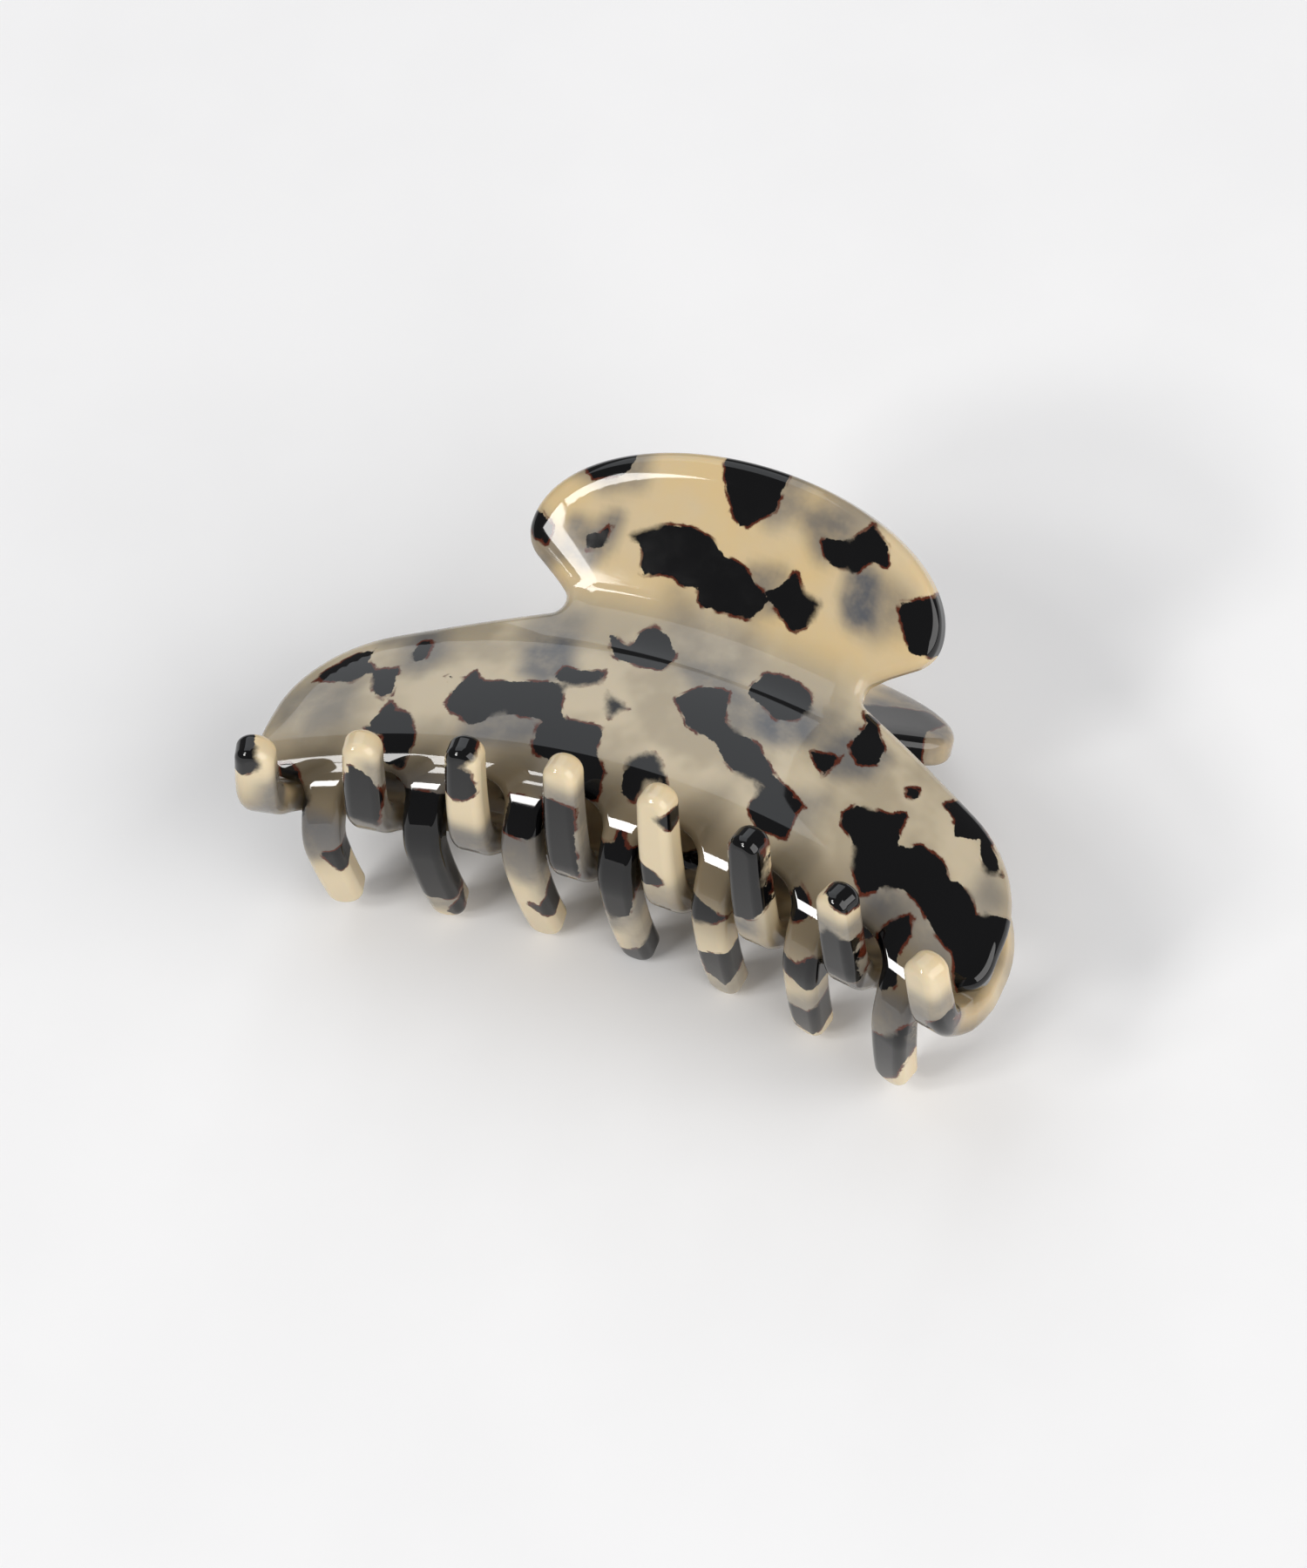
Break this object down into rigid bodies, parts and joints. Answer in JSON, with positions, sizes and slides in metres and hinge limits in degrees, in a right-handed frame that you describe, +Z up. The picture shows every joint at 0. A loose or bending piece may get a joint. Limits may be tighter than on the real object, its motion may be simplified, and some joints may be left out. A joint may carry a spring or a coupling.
{
  "type": "claw hair clip",
  "caption": "Sprung claw hair clip: two curved acetate jaws with interleaving teeth and oval finger tabs, hinged on a steel pin.",
  "frame": {"origin": "on the floor under the middle of the closed clip, which lies on its front teeth and the end of its rear tab", "axes": "+X along the hinge pin, towards its collar end; +Y from the teeth towards the finger tabs; +Z up"},
  "size_m": [0.091, 0.0568, 0.0397],
  "materials": {
    "tortoise_acetate": "polished cream cellulose acetate with near-black tortoise patches",
    "lug_acetate": "moulded cream acetate",
    "pin_steel": "plain steel",
    "spring_steel": "drawn spring wire"
  },
  "bodies": {
    "rear_half": {"rear_jaw": "tortoise_acetate", "rear_lug_left": "lug_acetate", "rear_lug_right": "lug_acetate", "hinge_pin": "pin_steel", "pin_collar": "pin_steel", "torsion_spring": "spring_steel"},
    "front_half": {"front_jaw": "tortoise_acetate", "front_lug_left": "lug_acetate", "front_lug_right": "lug_acetate"}
  },
  "joints": [
    {"name": "jaw_hinge", "type": "hinge", "parent": "rear_half", "child": "front_half", "pos_m": [0, 0.00494, 0.01981], "axis": [-1, 0, 0], "range_deg": [0, 58], "stiffness_Nm_per_rad": 0.2, "springref_deg": -28.65, "deforming": ["torsion_spring"]}
  ]
}
